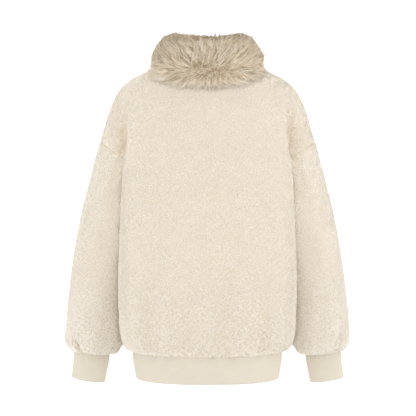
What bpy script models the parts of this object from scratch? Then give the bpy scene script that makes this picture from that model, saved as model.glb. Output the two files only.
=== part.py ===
"""Oversized sherpa-fleece pullover with a fur collar, filled out as if worn, with nobody in it.

The front of the garment faces -Y and its back +Y. The origin is the middle of the shoulder line at
the neck, where the wearer's shoulders hold it up. Every piece that is cut and sewn is one closed
wall: fleece front, back and sleeves, doubled jersey cuffs and hem band, and the collar of long fur.
"""

import math

import bpy
import numpy as np

# ---- Driving dimensions, in millimetres and degrees -------------------------------------------
FLEECE_WALL = 5.0  # knitted ground and its curled pile
JERSEY_WALL = 3.0  # two layers of double-knit jersey
SEAM_GAP = 0.3
CLEARANCE = 1.6  # between a sleeve and the side of the body it rests against

NECK_BACK_HEIGHT = -3.0
NECK_FRONT_HEIGHT = -65.0
SHOULDER_POINT_HEIGHT = 5.0
SHOULDER_END_HEIGHT = -165.0
CREASE_HEIGHT = -209.0  # where the armhole seam drops into the fold beside the sleeve
CAP_FADE = (CREASE_HEIGHT - 12, CREASE_HEIGHT + 8)
UNDERARM_HEIGHT = -285.0
SHOULDER_END_LEVEL = {"back": -166.0, "front": -178.0}  # height at the centre line in that row
CAP_END_HEIGHT = -312.0
HEM_SEAM_HEIGHT = -630.0
SLEEVE_SEAM_HEIGHT = -637.0

SHOULDER_ROWS = 8
ARMHOLE_ROWS = 12
PANEL_COLUMNS = 24
SLEEVE_COLUMNS = 2 * ARMHOLE_ROWS
COLLAR_COLUMNS = 72

BODY_ROW_HEIGHTS = (-318, -356, -396, -436, -476, -516, -554, -588, -610, -622, -630)
SLEEVE_ROW_HEIGHTS = (-346, -382, -418, -454, -490, -524, -556, -584, -606, -621, -631)
CAP_ROWS = 5
CAP_CLEARANCE = 0.4  # share of the clearance that a sleeve has where it leaves the armhole
FINE_STEPS = 120  # points read along a curve before its columns are spaced evenly


def table(columns, *rows):
    """Sections of a form, one a row, with a name for each column of measures."""
    values = np.array(sorted(rows), float)
    return {name: values[:, i] for i, name in enumerate(columns.split())}


# The body without its sleeves. Depths are from the side line, whose place is side_y.
TORSO = table(
    "height half_width back front roundness side_y",
    (5, 88, 66, 25, 2.0, 0),
    (-13, 134, 74, 44, 2.0, 0),
    (-31, 163, 84, 58, 2.05, -1),
    (-48, 178, 92, 67, 2.15, -2),
    (-75, 185, 103, 79, 2.35, -4),
    (-110, 187, 115, 90, 2.6, -6),
    (-145, 187, 124, 98, 2.8, -8),
    (-180, 187, 131, 104, 2.9, -9),
    (-209, 188, 136, 109, 3.0, -11),
    (-285, 189, 143, 115, 3.0, -13),
    (-383, 192, 144, 115, 2.9, -12),
    (-471, 194, 143, 116, 2.8, -9),
    (-560, 194, 143, 121, 2.7, -5),
    (-590, 191, 141, 120, 2.6, -4),
    (-612, 185, 136, 117, 2.5, -3),
    (-622, 177, 130, 113, 2.4, -2),
    (-630, 165, 122, 106, 2.3, -2),
)

# The shoulder cap, which the sleeve goes on from. blend is low where it melts into the body.
SHOULDER_CAP = table(
    "height outer half_depth blend",
    (5, 88, 0, 3.0),
    (-13, 134, 0, 3.0),
    (-22, 153, 14, 3.0),
    (-31, 170, 24, 3.0),
    (-48, 192.5, 37, 3.0),
    (-75, 208, 48, 3.4),
    (-110, 222, 57, 4.0),
    (-145, 232, 63, 5.0),
    (-180, 243, 66, 6.0),
    (-209, 251, 67, 7.0),
    (-300, 274, 67, 7.0),
)
CAP_HALF_WIDTH = 62.0

# The sleeve below the cap, before it is pressed against the body. tilt lowers its inner side.
SLEEVE = table(
    "height outer half_width half_depth centre_y tilt",
    (-312, 277, 62, 67, -16, 0),
    (-365, 288, 62, 68, -18, 0),
    (-436, 300, 62, 68, -22, 0),
    (-506, 309, 62, 67, -26, 0),
    (-568, 315, 62, 66, -30, 1),
    (-606, 318, 62, 65, -32, 3),
    (-621, 315, 60.5, 62, -34, 4),
    (-631, 308, 53, 54, -35, 5),
    (-637, 299, 40.4, 34.4, -36, 5),
)

HEM_BAND = table(
    "height half_width back front roundness side_y",
    (-622, 163.5, 121, 105, 2.3, -2),
    (-640, 163.5, 121, 105, 2.3, -2),
    (-660, 160.5, 119, 103, 2.3, -2),
    (-683, 157, 116, 101, 2.3, -2),
)
HEM_BAND_ROWS = (-622, -630.5, -648, -666, -683)

CUFF = table(
    "height centre_x centre_y half_width half_depth tilt",
    (-629, 258.6, -36, 40, 34, 5),
    (-637, 258.6, -36, 40, 34, 5),
    (-665, 261.5, -37, 38.5, 33, 7),
    (-695, 266.5, -38, 37.5, 32, 8.8),
)
CUFF_ROWS = (-629, -637, -656, -675, -695)

FOLD_END = 20.0  # a fold runs out within this below its deepest point

# Soft troughs in the fleece. bearing turns from the middle of the back towards +X.
BODY_FOLDS = table(
    "bearing width top deepest depth",
    (-39, 5.0, -430, -606, 6.0),
    (-9, 5.5, -390, -604, 5.0),
    (15, 5.0, -470, -608, 5.5),
    (40, 6.0, -410, -602, 6.5),
    (64, 6.0, -500, -606, 4.0),
    (-66, 6.0, -480, -606, 4.0),
    (132, 6.0, -440, -605, 5.5),
    (166, 6.0, -400, -603, 5.0),
    (197, 6.5, -460, -606, 6.0),
    (226, 6.0, -420, -604, 5.5),
)
# bearing turns from the outer edge of the sleeve towards its back.
LEFT_SLEEVE_FOLDS = table(
    "bearing width top deepest depth",
    (24, 9, -500, -618, 4.0),
    (62, 9, -540, -621, 5.0),
    (118, 10, -470, -616, 4.5),
    (205, 10, -520, -618, 4.0),
    (262, 9, -500, -620, 5.0),
    (318, 10, -480, -617, 4.5),
)
RIGHT_SLEEVE_FOLDS = table(
    "bearing width top deepest depth",
    (14, 8, -560, -620, 5.0),
    (52, 9, -500, -618, 4.0),
    (98, 10, -520, -619, 4.5),
    (190, 10, -500, -618, 4.0),
    (248, 9, -480, -617, 4.5),
    (304, 10, -520, -620, 5.0),
)

# The outline of the fur beside the neckline, outward and upward from it, at five angles from the
# middle of the back.
FUR_ANGLES = (0, 40, 65, 90, 180)
FUR_OUTLINE = (
    ("swell", (62, -28), (58, -20), (49, -8), (39, 3), (58, -18)),
    ("middle", (57, 0), (51, 5), (44, 13), (35, 19), (54, 10)),
    ("upper", (46, 24), (42, 29), (34, 34), (26, 37), (44, 36)),
    ("brow", (29, 45), (27, 48), (20, 52), (12, 55), (26, 60)),
    ("crown", (7, 59), (5, 61), (-2, 66), (-8, 69), (4, 78)),
    ("inner_crown", (-8, 57), (-10, 58), (-16, 62), (-21, 65), (-10, 76)),
    ("inside_top", (-13, 46), (-16, 47), (-21, 49), (-26, 51), (-15, 64)),
    ("inside_middle", (-12, 19), (-13, 20), (-15, 22), (-18, 22), (-12, 28)),
)
FUR_REACH_ROWS = (3.1, 2.8, 2.1, 1.5, 2.9)  # panel rows that the fur covers, at those angles
FUR_TIPS = (("tip", 1.0, 6), ("fringe", 0.86, 22))  # name, share of the reach, height off the fleece
FUR_FLATNESS = (0, 0, 0.22, 0.55, 0)  # share of that height lost where the shoulder rises to the fur
FUR_UNDERSIDE = (0.3, 0.65, 1.0)
FUR_LIFT = 2.0  # the fur's underside stands this far off the fleece
FOOT_LIFT, FOOT_WIDTH = 1.5, 4.0  # and its foot this far above the neckline
LOCK_COLUMNS = 4  # columns of points across one lock of fur
LOCK_DIPS = {"fringe": 7, "swell": 8, "middle": 7, "upper": 8, "brow": 7, "crown": 5}

FLEECE_COLOUR = (234, 224, 207)
SLEEVE_COLOUR = (232, 222, 205)
HEM_COLOUR = (231, 222, 206)
CUFF_COLOUR = (229, 220, 202)
FUR_COLOUR = (190, 172, 144)
FLEECE_ROUGHNESS, JERSEY_ROUGHNESS, FUR_ROUGHNESS = 0.95, 0.85, 0.8
SCREEN_GAMMA = 2.2

NORMAL_TURN, NORMAL_ROWS = 2.0, 0.02  # how far apart a panel's direction is measured

# Cosines of the turn at a seam, between which its two walls go from one shared edge direction to two.
SHARPEST_SHARED, SMOOTHEST_OWN = -0.95, -0.3


# ---- Curves and sections -----------------------------------------------------------------------
def along(x, y, place):
    """The value at a place on a smooth curve through points, which never overshoots them."""
    x, y = np.asarray(x, float), np.asarray(y, float)
    slope = np.diff(y) / np.diff(x)
    product, total = slope[:-1] * slope[1:], slope[:-1] + slope[1:]
    inner = np.where(product > 0, 2 * product / np.where(total == 0, 1, total), 0)
    tangent = np.concatenate([slope[:1], inner, slope[-1:]])
    place = np.clip(place, x[0], x[-1])
    i = np.clip(np.searchsorted(x, place) - 1, 0, len(slope) - 1)
    step = x[i + 1] - x[i]
    t = (place - x[i]) / step
    from_start = (1 + 2 * t) * (1 - t) ** 2 * y[i] + t * (1 - t) ** 2 * step * tangent[i]
    to_end = t * t * (3 - 2 * t) * y[i + 1] - t * t * (1 - t) * step * tangent[i + 1]
    return from_start + to_end


def at(sections, column, height):
    """A measure of a form at any height."""
    return along(sections["height"], sections[column], height)


def ease(value, low, high):
    """0 below low and 1 above high, with a smooth rise between."""
    t = np.clip((value - low) / (high - low), 0, 1)
    return t * t * (3 - 2 * t)


def torso_depth(x, height, panel):
    """How far the body alone stands out from the side line at x."""
    power = at(TORSO, "roundness", height)
    across = np.clip(np.abs(x) / at(TORSO, "half_width", height), 0, 1)
    return at(TORSO, panel, height) * (1 - across**power) ** (1 / power)


def torso_x(depth, height, panel):
    """The x at which the body alone stands out by this depth."""
    power = at(TORSO, "roundness", height)
    share = np.clip(depth / at(TORSO, panel, height), 0, 1)
    return at(TORSO, "half_width", height) * (1 - share**power) ** (1 / power)


def cap_depth(x, height):
    """How far the shoulder cap stands out from the side line at x, front and back alike."""
    middle = at(SHOULDER_CAP, "outer", height) - CAP_HALF_WIDTH
    across = np.clip(np.abs(np.abs(x) - middle) / CAP_HALF_WIDTH, 0, 1)
    return at(SHOULDER_CAP, "half_depth", height) * np.sqrt(1 - across**2)


def panel_depth(x, height, panel):
    """Body and shoulder cap melted together above the armhole, and the body alone below it."""
    cap = cap_depth(x, height) * ease(height, *CAP_FADE)
    power = at(SHOULDER_CAP, "blend", height)
    body = torso_depth(x, height, panel)
    return (body**power + cap**power) ** (1 / power)


def shoulder_edge(share):
    """The shoulder seam from the neck to its end, by its share of the length."""
    heights = np.linspace(SHOULDER_POINT_HEIGHT, SHOULDER_END_HEIGHT, FINE_STEPS)
    outer = at(SHOULDER_CAP, "outer", heights)
    length = np.concatenate([[0], np.cumsum(np.hypot(np.diff(outer), np.diff(heights)))])
    height = np.interp(share * length[-1], length, heights)
    return at(SHOULDER_CAP, "outer", height), height


def armhole_edge(share, panel):
    """The armhole seam: round the arm to the crease, then down along the body to the underarm."""
    crease_depth = at(SHOULDER_CAP, "half_depth", CREASE_HEIGHT)
    crease_x = torso_x(crease_depth, CREASE_HEIGHT, panel)
    if share <= 0.5:
        turn = math.cos(math.pi * share)
        end_x = at(SHOULDER_CAP, "outer", SHOULDER_END_HEIGHT)
        height = CREASE_HEIGHT + (SHOULDER_END_HEIGHT - CREASE_HEIGHT) * turn
        return crease_x + (end_x - crease_x) * turn, height
    down = 2 * share - 1
    height = CREASE_HEIGHT + (UNDERARM_HEIGHT - CREASE_HEIGHT) * down
    return torso_x(crease_depth * (1 - down), height, panel), height


def fold_depth(folds, bearing, height):
    """Depth of the soft troughs at a bearing in degrees, fading out upwards and at the seam."""
    depth = 0.0
    for place, width, top, deepest, full in zip(*folds.values()):
        apart = (bearing - place + 180) % 360 - 180
        rise = 1 - ease(height, deepest, top)
        seam = ease(height, deepest - FOLD_END, deepest)
        depth = depth + full * np.exp(-((apart / width) ** 2) / 2) * rise * seam
    return depth


def panel_point(panel, bearing, row):
    """A point of the outer face of the front or back. bearing runs -90 to 90 across the panel."""
    sine, cosine = math.sin(math.radians(bearing)), math.cos(math.radians(bearing))
    out = 1 if panel == "back" else -1
    last = SHOULDER_ROWS + ARMHOLE_ROWS
    if row <= last:
        neck = NECK_BACK_HEIGHT if panel == "back" else NECK_FRONT_HEIGHT
        level = SHOULDER_END_LEVEL[panel]
        if row <= SHOULDER_ROWS:
            edge_x, edge_height = shoulder_edge(row / SHOULDER_ROWS)
            centre = neck + (level - neck) * row / SHOULDER_ROWS
        else:
            share = (row - SHOULDER_ROWS) / ARMHOLE_ROWS
            edge_x, edge_height = armhole_edge(share, panel)
            end_x = at(SHOULDER_CAP, "outer", SHOULDER_END_HEIGHT)
            side_x = at(TORSO, "half_width", UNDERARM_HEIGHT)
            centre = level + (UNDERARM_HEIGHT - level) * share
        height = centre + (edge_height - centre) * sine**2
        x = edge_x * sine
        if row > SHOULDER_ROWS:
            even_x = end_x + (side_x - end_x) * share
            x = even_x * sine + (edge_x - even_x) * math.copysign(sine**4, sine)
        y = at(TORSO, "side_y", height) + out * panel_depth(x, height, panel)
        return np.array([x, y, height])
    heights = (UNDERARM_HEIGHT,) + BODY_ROW_HEIGHTS
    height = heights[row - last]
    half_width, depth = at(TORSO, "half_width", height), at(TORSO, panel, height)
    power = at(TORSO, "roundness", height)
    y = depth * (1 - abs(sine) ** power) ** (1 / power)
    round_bearing = bearing if panel == "back" else 180 - bearing
    fold = fold_depth(BODY_FOLDS, round_bearing, height)
    side_y = at(TORSO, "side_y", height)
    return np.array([half_width * sine - fold * sine, side_y + out * (y - fold * cosine), height])


def band_ring(sections, height, columns, proud=0.0):
    """One round of the hem band, from the middle of the back towards +X."""
    points = []
    for i in range(columns):
        angle = 2 * math.pi * i / columns
        sine, cosine = math.sin(angle), math.cos(angle)
        depth = at(sections, "back" if cosine >= 0 else "front", height)
        power = at(sections, "roundness", height)
        y = math.copysign(depth * (1 - abs(sine) ** power) ** (1 / power), cosine)
        x = at(sections, "half_width", height) * sine
        points.append((x + proud * sine, y + proud * cosine + at(sections, "side_y", height), height))
    return np.array(points)


def cuff_ring(height, columns, proud=0.0):
    """One round of the left cuff, from its outer edge towards its back."""
    angle = 2 * math.pi * np.arange(columns) / columns
    x = (at(CUFF, "half_width", height) + proud) * np.cos(angle)
    y = (at(CUFF, "half_depth", height) + proud) * np.sin(angle)
    z = height + x * math.tan(math.radians(at(CUFF, "tilt", height)))
    return np.column_stack([x + at(CUFF, "centre_x", height), y + at(CUFF, "centre_y", height), z])


def clear_of_body(points, clearance):
    """Presses points of the left sleeve out of the side of the body."""
    pressed = points.copy()
    for i, (x, y, height) in enumerate(points):
        depth = y - at(TORSO, "side_y", height)
        panel = "back" if depth > 0 else "front"
        if abs(depth) < at(TORSO, panel, height):
            pressed[i, 0] = max(x, torso_x(abs(depth), height, panel) + clearance)
    return pressed


def evenly(points, count):
    """count points at equal steps along the line through the points, from its first to its last."""
    points = np.asarray(points)
    length = np.concatenate([[0], np.cumsum(np.linalg.norm(np.diff(points, axis=0), axis=1))])
    wanted = np.linspace(0, length[-1], count)
    return np.column_stack([np.interp(wanted, length, points[:, i]) for i in range(3)])


def sleeve_ring(height, folds):
    """One round of the left sleeve, from its outer edge over the back, inner side and front."""
    angle = 2 * math.pi * np.arange(FINE_STEPS) / FINE_STEPS
    half_width = at(SLEEVE, "half_width", height)
    centre_x = at(SLEEVE, "outer", height) - half_width
    fold = fold_depth(folds, np.degrees(angle), height)
    x = (half_width - fold) * np.cos(angle)
    y = (at(SLEEVE, "half_depth", height) - fold) * np.sin(angle)
    z = height + x * math.tan(math.radians(at(SLEEVE, "tilt", height)))
    ring = np.column_stack([x + centre_x, y + at(SLEEVE, "centre_y", height), z])
    ring = clear_of_body(ring, CLEARANCE)
    return evenly(np.vstack([ring, ring[:1]]), SLEEVE_COLUMNS + 1)[:-1]


# ---- Outer faces -------------------------------------------------------------------------------
def panel_grid(panel):
    rows = range(SHOULDER_ROWS + ARMHOLE_ROWS + len(BODY_ROW_HEIGHTS) + 1)
    bearings = np.linspace(-90, 90, FINE_STEPS + 1)
    grid = [evenly([panel_point(panel, b, row) for b in bearings], PANEL_COLUMNS + 1) for row in rows]
    band = band_ring(HEM_BAND, HEM_SEAM_HEIGHT, 2 * PANEL_COLUMNS, SEAM_GAP)
    turn = np.arange(-PANEL_COLUMNS // 2, PANEL_COLUMNS // 2 + 1)
    grid[-1] = band[turn % len(band)] if panel == "back" else band[(PANEL_COLUMNS - turn) % len(band)]
    return np.array(grid)


def sleeve_grid(back, front, folds):
    """The left sleeve: its first round is the armhole edge of the two panels."""
    rows = np.arange(SHOULDER_ROWS, SHOULDER_ROWS + ARMHOLE_ROWS + 1)
    armhole = np.vstack([back[rows, -1], front[rows[-2:0:-1], -1]])
    cap_end = sleeve_ring(CAP_END_HEIGHT, folds)
    grid = [armhole]
    for row in range(1, CAP_ROWS + 1):
        share = row / CAP_ROWS
        ring = armhole + (cap_end - armhole) * share
        grid.append(clear_of_body(ring, CLEARANCE * min(1, CAP_CLEARANCE + share)))
    grid += [sleeve_ring(height, folds) for height in SLEEVE_ROW_HEIGHTS]
    grid.append(cuff_ring(SLEEVE_SEAM_HEIGHT, SLEEVE_COLUMNS, SEAM_GAP))
    return np.array(grid)


def mirrored(grid):
    return grid * np.array([-1, 1, 1])


def panel_normal(panel, bearing, row):
    """The outward direction of a panel, from points close by on each side."""
    one_side, other_side = max(bearing - NORMAL_TURN, -90), min(bearing + NORMAL_TURN, 90)
    across = panel_point(panel, other_side, row) - panel_point(panel, one_side, row)
    above, below = max(row - NORMAL_ROWS, 0), row + NORMAL_ROWS
    down = panel_point(panel, bearing, below) - panel_point(panel, bearing, above)
    normal = np.cross(across, down) if panel == "back" else np.cross(down, across)
    return normal / np.linalg.norm(normal)


def lock_dip(name, column, tier):
    """How far the surface dips between two locks of fur; each tier is half a lock along."""
    return LOCK_DIPS.get(name, 0) * (1 - math.cos(math.tau * (column / LOCK_COLUMNS + tier % 2 / 2))) / 2


def collar_section(angle):
    """The outline of the fur collar at an angle round the neck, from the middle of the back."""
    panel = "back" if math.cos(angle) >= 0 else "front"
    bearing = math.degrees(math.asin(math.sin(angle)))
    turn = abs((math.degrees(angle) + 180) % 360 - 180)
    outward = np.array([math.sin(angle), math.cos(angle), 0])
    upward = np.array([0, 0, 1.0])
    foot = panel_point(panel, bearing, 0) + upward * FOOT_LIFT
    section = [foot - outward * FOOT_WIDTH, foot]
    reach = along(FUR_ANGLES, FUR_REACH_ROWS, turn)
    for share in FUR_UNDERSIDE:
        under = panel_point(panel, bearing, reach * share)
        section.append(under + panel_normal(panel, bearing, reach * share) * FUR_LIFT)
    column = round(math.degrees(angle) / 360 * COLLAR_COLUMNS)
    neck = foot - upward * FOOT_LIFT
    flatness = along(FUR_ANGLES, FUR_FLATNESS, turn)
    for name, share, lift in FUR_TIPS:
        under = panel_point(panel, bearing, reach * share)
        lift = lift * (1 - flatness) - lock_dip(name, column, 0)
        section.append(under + panel_normal(panel, bearing, reach * share) * lift)
    for tier, (name, *places) in enumerate(FUR_OUTLINE):
        out, up = (along(FUR_ANGLES, measure, turn) for measure in zip(*places))
        section.append(neck + outward * (out - lock_dip(name, column, tier + 1)) + upward * up)
    return section


# ---- Walls -------------------------------------------------------------------------------------
def grid_faces(rows, columns, closed):
    """Quads of a grid whose points are numbered row by row."""
    faces = []
    for row in range(rows - 1):
        for column in range(columns if closed else columns - 1):
            beside = (column + 1) % columns
            low, high = row * columns, (row + 1) * columns
            faces.append((low + column, low + beside, high + beside, high + column))
    return faces


def point_normals(points, faces):
    normals = np.zeros_like(points)
    for a, b, c, d in faces:
        face = np.cross(points[c] - points[a], points[d] - points[b])
        for corner in (a, b, c, d):
            normals[corner] += face
    return normals / np.linalg.norm(normals, axis=1)[:, None]


def sewn_normals(pieces):
    """Gives the pieces that meet at a smooth seam the same normal there; a sharp fold keeps its own."""
    places = {}
    for name, piece in pieces.items():
        for i, point in enumerate(piece["points"]):
            places.setdefault(tuple(np.round(point, 2)), []).append((name, i))
    for owners in places.values():
        own = [pieces[name]["normals"][i].copy() for name, i in owners]
        for (name, i), normal in zip(owners, own):
            shared = sum(other * ease(float(other @ normal), SHARPEST_SHARED, SMOOTHEST_OWN) for other in own)
            pieces[name]["normals"][i] = shared / np.linalg.norm(shared)


def rim_edges(faces):
    """The edges of an open surface, each in the direction its one face runs."""
    found = {}
    for face in faces:
        for a, b in zip(face, face[1:] + face[:1]):
            found[(a, b)] = found.get((a, b), 0) + 1
    return [(a, b) for a, b in found if (b, a) not in found]


def add_object(name, points, faces, colour, roughness):
    mesh = bpy.data.meshes.new(name)
    mesh.from_pydata([tuple(point * 0.001) for point in points], [], faces)
    mesh.validate()
    mesh.shade_smooth()
    mesh.set_sharp_from_angle(angle=math.radians(50))
    material = bpy.data.materials.new(name)
    material.use_nodes = True
    shader = material.node_tree.nodes["Principled BSDF"]
    shader.inputs["Base Color"].default_value = [*((c / 255) ** SCREEN_GAMMA for c in colour), 1]
    shader.inputs["Roughness"].default_value = roughness
    shader.inputs["Metallic"].default_value = 0.0
    mesh.materials.append(material)
    item = bpy.data.objects.new(name, mesh)
    bpy.data.collections["sherpa_pullover"].objects.link(item)
    return item


def add_wall(name, piece, thickness, colour, roughness):
    """A closed wall: the outer face, an inner face a thickness below it, and rims at the edges.

    Two rims that face each other across a seam are split into triangles along the same diagonal.
    """
    points, normals, faces = piece["points"].copy(), piece["normals"], piece["faces"]
    centres = {}
    for face in faces:
        middle = points[list(face)].mean(axis=0)
        for corner in face:
            centres.setdefault(corner, []).append(middle)
    rim = rim_edges(faces)
    before, after = {b: a for a, b in rim}, dict(rim)
    drawn_in = points.copy()
    for corner in set(after) - set(piece["lip"]):
        inward = np.mean(centres[corner], axis=0) - points[corner]
        seam = points[after[corner]] - points[before[corner]]
        across = np.cross(normals[corner], seam)
        across *= math.copysign(SEAM_GAP / 2 / np.linalg.norm(across), across @ inward)
        drawn_in[corner] += across - normals[corner] * SEAM_GAP / 2
    points = drawn_in
    inner = points - normals * thickness
    count = len(points)
    all_faces = list(faces)
    all_faces += [tuple(corner + count for corner in reversed(face)) for face in faces]
    for a, b in rim:
        corners = (b, a, a + count, b + count)
        turned = tuple(piece["points"][a]) < tuple(piece["points"][b])
        split = ((0, 1, 3), (1, 2, 3)) if turned else ((0, 1, 2), (0, 2, 3))
        all_faces += [tuple(corners[i] for i in triangle) for triangle in split]
    add_object(name, np.vstack([points, inner]), all_faces, colour, roughness)


def surface(grid, closed, lip_rows=(), flip=False, turned_in=False):
    """A grid as an open surface. Its lip rows end on another piece's face, so they aren't drawn in.

    turned_in sets the last row square to the band that it meets.
    """
    rows, columns = grid.shape[:2]
    points = grid.reshape(-1, 3)
    faces = grid_faces(rows, columns, closed)
    if flip:
        faces = [face[::-1] for face in faces]
    normals = point_normals(points, faces)
    if turned_in:
        normals[-columns:] = (0, 0, -1)
    lip = [row % rows * columns + column for row in lip_rows for column in range(columns)]
    return {"points": points, "faces": faces, "normals": normals, "lip": lip}


def make_fleece():
    back, front = panel_grid("back"), panel_grid("front")
    left = sleeve_grid(back, front, LEFT_SLEEVE_FOLDS)
    right = mirrored(sleeve_grid(back, front, RIGHT_SLEEVE_FOLDS))
    pieces = {
        "back": surface(back, False, (0, -1), turned_in=True),
        "front": surface(front, False, (0, -1), flip=True, turned_in=True),
        "sleeve_left": surface(left, True, (-1,), flip=True, turned_in=True),
        "sleeve_right": surface(right, True, (-1,), turned_in=True),
    }
    sewn_normals(pieces)
    for name, piece in pieces.items():
        colour = SLEEVE_COLOUR if name.startswith("sleeve") else FLEECE_COLOUR
        add_wall(name, piece, FLEECE_WALL, colour, FLEECE_ROUGHNESS)


def make_bands():
    columns = 2 * PANEL_COLUMNS
    hem = np.array([band_ring(HEM_BAND, height, columns) for height in HEM_BAND_ROWS])
    cuff = np.array([cuff_ring(height, SLEEVE_COLUMNS) for height in CUFF_ROWS])
    left, right = surface(cuff, True, (0, -1), flip=True), surface(mirrored(cuff), True, (0, -1))
    add_wall("hem_band", surface(hem, True, (0, -1)), JERSEY_WALL, HEM_COLOUR, JERSEY_ROUGHNESS)
    add_wall("cuff_left", left, JERSEY_WALL, CUFF_COLOUR, JERSEY_ROUGHNESS)
    add_wall("cuff_right", right, JERSEY_WALL, CUFF_COLOUR, JERSEY_ROUGHNESS)


def make_collar():
    """The collar's closed section, carried once round the neck."""
    angles = math.tau * np.arange(COLLAR_COLUMNS) / COLLAR_COLUMNS
    fur = np.array([collar_section(angle) for angle in angles])
    size = fur.shape[1]
    faces = []
    for column in range(COLLAR_COLUMNS):
        here, beside = column * size, (column + 1) % COLLAR_COLUMNS * size
        for j in range(size):
            following = (j + 1) % size
            faces.append((here + j, here + following, beside + following, beside + j))
    add_object("collar", fur.reshape(-1, 3), faces, FUR_COLOUR, FUR_ROUGHNESS)


for old in list(bpy.data.objects):
    bpy.data.objects.remove(old, do_unlink=True)
garment = bpy.data.collections.new("sherpa_pullover")
bpy.context.scene.collection.children.link(garment)
make_fleece()
make_bands()
make_collar()
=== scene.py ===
"""Sherpa-fleece pullover with a long-haired fur collar, filled out as if worn.

Measures of the garment are millimetres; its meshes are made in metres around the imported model.
"""

import math

import bpy
import numpy as np
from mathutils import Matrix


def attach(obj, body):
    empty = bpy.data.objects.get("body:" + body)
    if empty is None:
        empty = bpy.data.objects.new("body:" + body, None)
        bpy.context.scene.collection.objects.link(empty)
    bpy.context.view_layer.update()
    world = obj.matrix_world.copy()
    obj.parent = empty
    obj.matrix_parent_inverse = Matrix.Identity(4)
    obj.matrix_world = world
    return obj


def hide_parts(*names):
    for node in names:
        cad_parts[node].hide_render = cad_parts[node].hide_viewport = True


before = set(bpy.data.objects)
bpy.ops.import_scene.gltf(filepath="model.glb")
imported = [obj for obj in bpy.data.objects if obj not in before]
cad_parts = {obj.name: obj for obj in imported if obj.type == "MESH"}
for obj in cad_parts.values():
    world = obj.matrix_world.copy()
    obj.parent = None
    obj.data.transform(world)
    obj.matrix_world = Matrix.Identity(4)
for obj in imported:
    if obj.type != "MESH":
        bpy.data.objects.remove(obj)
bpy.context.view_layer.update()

# ==== Back and front ============================================================================
# Two wide pieces of sherpa fleece: a knitted ground that carries a curled pile. They are seamed at
# the shoulders and sides and blouse over the hem band. This section makes the ground; the pile
# follows once the sleeves are sewn in.
MM = 0.001
PILE_DEPTH = 2.6  # from the ground to the middle of the pile's outer face
GROUND_THICKNESS = 1.6
# darker and warmer than the tufts: partly the knit's own colour, partly painted shade deep in the pile
GROUND_COLOUR = (0.81, 0.715, 0.575)
GROUND_GRAIN = {"Scale": 90.0, "Detail": 4.0}
INSIDE_COLOUR = (0.70, 0.63, 0.525)
INSIDE_GRAIN = {"Scale": 160.0, "Detail": 3.0}
SHEEN_TINT = (1.0, 0.88, 0.72)
CLOTH_GLOSS = 0.25  # how strongly a smooth face would mirror the light

NECK_HEIGHT = {"back": -3.0, "front": -65.0}
SHOULDER_POINT_HEIGHT = 5.0
SHOULDER_END_HEIGHT = -165.0
CREASE_HEIGHT = -209.0  # where the armhole seam drops into the fold beside the sleeve
CAP_FADE = (CREASE_HEIGHT - 12, CREASE_HEIGHT + 8)
UNDERARM_HEIGHT = -285.0
SHOULDER_END_LEVEL = {"back": -166.0, "front": -178.0}  # height at the centre line in that row
HEM_SEAM_HEIGHT = -627.0
FINE_STEPS = 240  # points read across a panel before its columns are spaced evenly
PANEL_COLUMNS = 64
SHOULDER_ROWS, ARMHOLE_ROWS, BODY_ROWS = 26, 24, 48
SEAM_DIP, SEAM_DIP_WIDTH = 2.0, 5.0  # the ground is drawn down beside a seam
SEAM_CALM = 8.0  # creases fade out towards a seam over this distance
SEAM_PAINTED_SHADE, SEAM_SHADE_REACH = 0.8, 4.0  # the pile's tone is darkened this much and this far at a seam, as painted shade
SEAM_FILL = 16.0  # in the fold under the arm the seam isn't drawn down but stands full
COLLAR_COVERS = (-48.0, -26.0)  # and so does the shoulder seam under the collar, from these heights
FOLD_END = 20.0


def table(columns, *rows):
    """Sections of a form, one a row, with a name for each column of measures."""
    values = np.array(sorted(rows), float)
    return {name: values[:, i] for i, name in enumerate(columns.split())}


TORSO = table(
    "height half_width back front roundness side_y",
    (5, 88, 66, 25, 2.0, 0),
    (-13, 134, 74, 44, 2.0, 0),
    (-31, 163, 84, 58, 2.05, -1),
    (-48, 178, 92, 67, 2.15, -2),
    (-75, 185, 103, 79, 2.35, -4),
    (-110, 187, 115, 90, 2.6, -6),
    (-145, 187, 124, 98, 2.8, -8),
    (-180, 187, 131, 104, 2.9, -9),
    (-209, 188, 136, 109, 3.0, -11),
    (-285, 189, 143, 115, 3.0, -13),
    (-383, 192, 144, 115, 2.9, -12),
    (-471, 194, 143, 116, 2.8, -9),
    (-560, 194, 143, 121, 2.7, -5),
    (-590, 191, 141, 120, 2.6, -4),
    (-610, 185, 136, 117, 2.5, -3),
    (-620, 177, 130, 113, 2.4, -2),
    (-627, 165, 122, 106, 2.3, -2),
)
SHOULDER_CAP = table(
    "height outer half_depth blend",
    (5, 88, 0, 3.0),
    (-13, 134, 0, 3.0),
    (-22, 153, 14, 3.0),
    (-31, 170, 24, 3.0),
    (-48, 192.5, 37, 3.0),
    (-75, 208, 48, 3.4),
    (-110, 222, 57, 4.0),
    (-145, 232, 63, 5.0),
    (-180, 243, 66, 6.0),
    (-209, 251, 67, 7.0),
    (-300, 274, 67, 7.0),
)
CAP_HALF_WIDTH = 62.0

# The cloth sinks between the body and the shoulder cap, beside an edge that runs down the panel.
VALLEY = table(
    "height edge depth",
    (-80, 167, 0),
    (-110, 168, 4),
    (-147, 171, 9),
    (-180, 172, 9),
    (-200, 174, 5),
    (-240, 177, 0),
)
VALLEY_SIDE, VALLEY_WIDTH = 9.0, 17.0
CREASE_SHADE_DEPTH = 9.0  # the pile's tone is wholly darkened, as painted shade, in a crease of this depth
TROUGH_SHADE_DEPTH = 26.0  # and in a wide trough of this one
# Lower down, the sides of each panel are pushed out over the sleeves as a soft ridge.
RIDGE = table(
    "height rise",
    (-200, 0),
    (-215, 2),
    (-253, 4),
    (-360, 6.5),
    (-440, 8),
    (-509, 8.5),
    (-560, 5.5),
    (-600, 1),
    (-620, 0),
)
RIDGE_DEPTH, RIDGE_WIDTH = 72.0, 14.0  # its place out from the side line

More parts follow.
